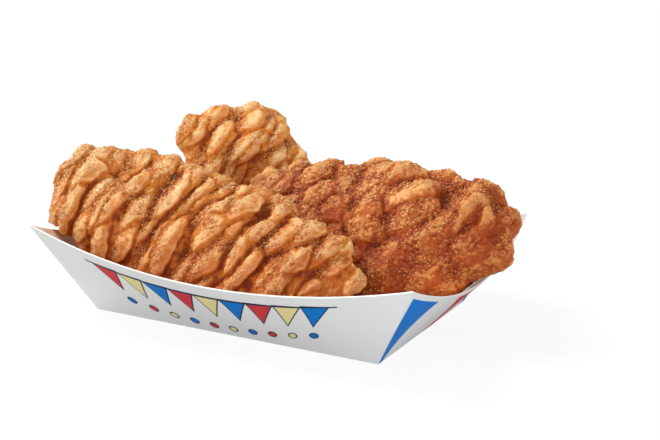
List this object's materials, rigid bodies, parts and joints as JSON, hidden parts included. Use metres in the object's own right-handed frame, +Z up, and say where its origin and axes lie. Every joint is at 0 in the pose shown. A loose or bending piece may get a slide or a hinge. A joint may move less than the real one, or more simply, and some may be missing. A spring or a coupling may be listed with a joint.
{
  "type": "chicken tenders in a paper food tray",
  "caption": "Craggy breaded chicken tenders lying across each other in a folded paperboard food tray with sloping sides.",
  "frame": {"origin": "middle of the tray's underside, on the surface that the tray stands on", "axes": "+X along the tray's length, +Y across it towards the back wall, +Z up"},
  "size_m": [0.1609, 0.1137, 0.0573],
  "materials": {
    "crust_front": "golden fried breading, rough and faintly oily",
    "crust_right": "dark red-brown fried breading, crumbly and faintly oily",
    "crust_back": "orange-brown fried breading, rough and faintly oily",
    "coated_board": "white coated paperboard, satin"
  },
  "bodies": {
    "root": {"tender_front": "crust_front", "tender_right": "crust_right", "tender_back": "crust_back", "tray": "coated_board"}
  },
  "joints": []
}
